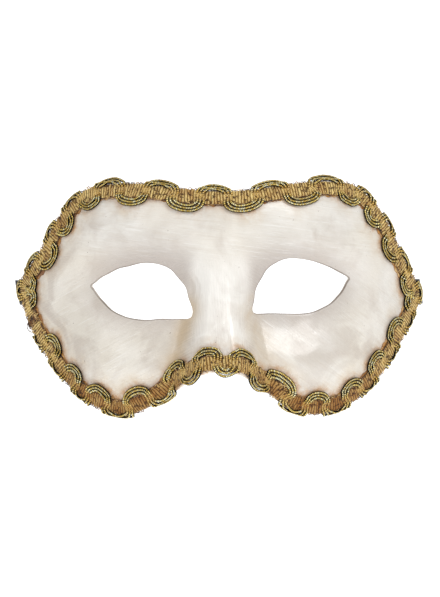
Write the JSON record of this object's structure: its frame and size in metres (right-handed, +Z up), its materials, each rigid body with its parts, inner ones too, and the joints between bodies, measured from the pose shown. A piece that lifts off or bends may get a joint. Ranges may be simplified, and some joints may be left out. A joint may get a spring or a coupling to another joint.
{
  "type": "venetian half mask",
  "caption": "Papier-mache half mask with two almond eye holes, edged all round with a scalloped gold gimp braid, with folded black satin ribbons behind the temples.",
  "frame": {"origin": "wearer's side of the nose bridge at eye level, where the mask rests on the face", "axes": "+X to the right seen from the front, +Z up, the mask faces -Y and the wearer's face is on the +Y side"},
  "size_m": [0.1831, 0.081, 0.1082],
  "materials": {
    "varnished_papier_mache": "gesso over papier-mache with gloss varnish and brown patina in the creases",
    "gold_yarn": "ribbed metallic gold yarn",
    "gold_cord": "antique gold metal strip wrapped round a core",
    "amber_glue": "dried amber glue and patina",
    "clear_glue": "dried glue",
    "black_satin": "satin",
    "black_thread": "twisted thread"
  },
  "bodies": {
    "root": {"mask_shell": "varnished_papier_mache", "braid_ground": "gold_yarn", "gimp_cord_a": "gold_cord", "gimp_cord_b": "gold_cord", "gimp_cord_c": "gold_cord", "glue_bead": "amber_glue", "left_ribbon_glue": "clear_glue", "right_ribbon_glue": "clear_glue", "left_ribbon_lead": "black_satin", "right_ribbon_lead": "black_satin", "left_ribbon_hank": "black_satin", "right_ribbon_hank": "black_satin", "left_hank_tie": "black_thread", "right_hank_tie": "black_thread"}
  },
  "joints": []
}
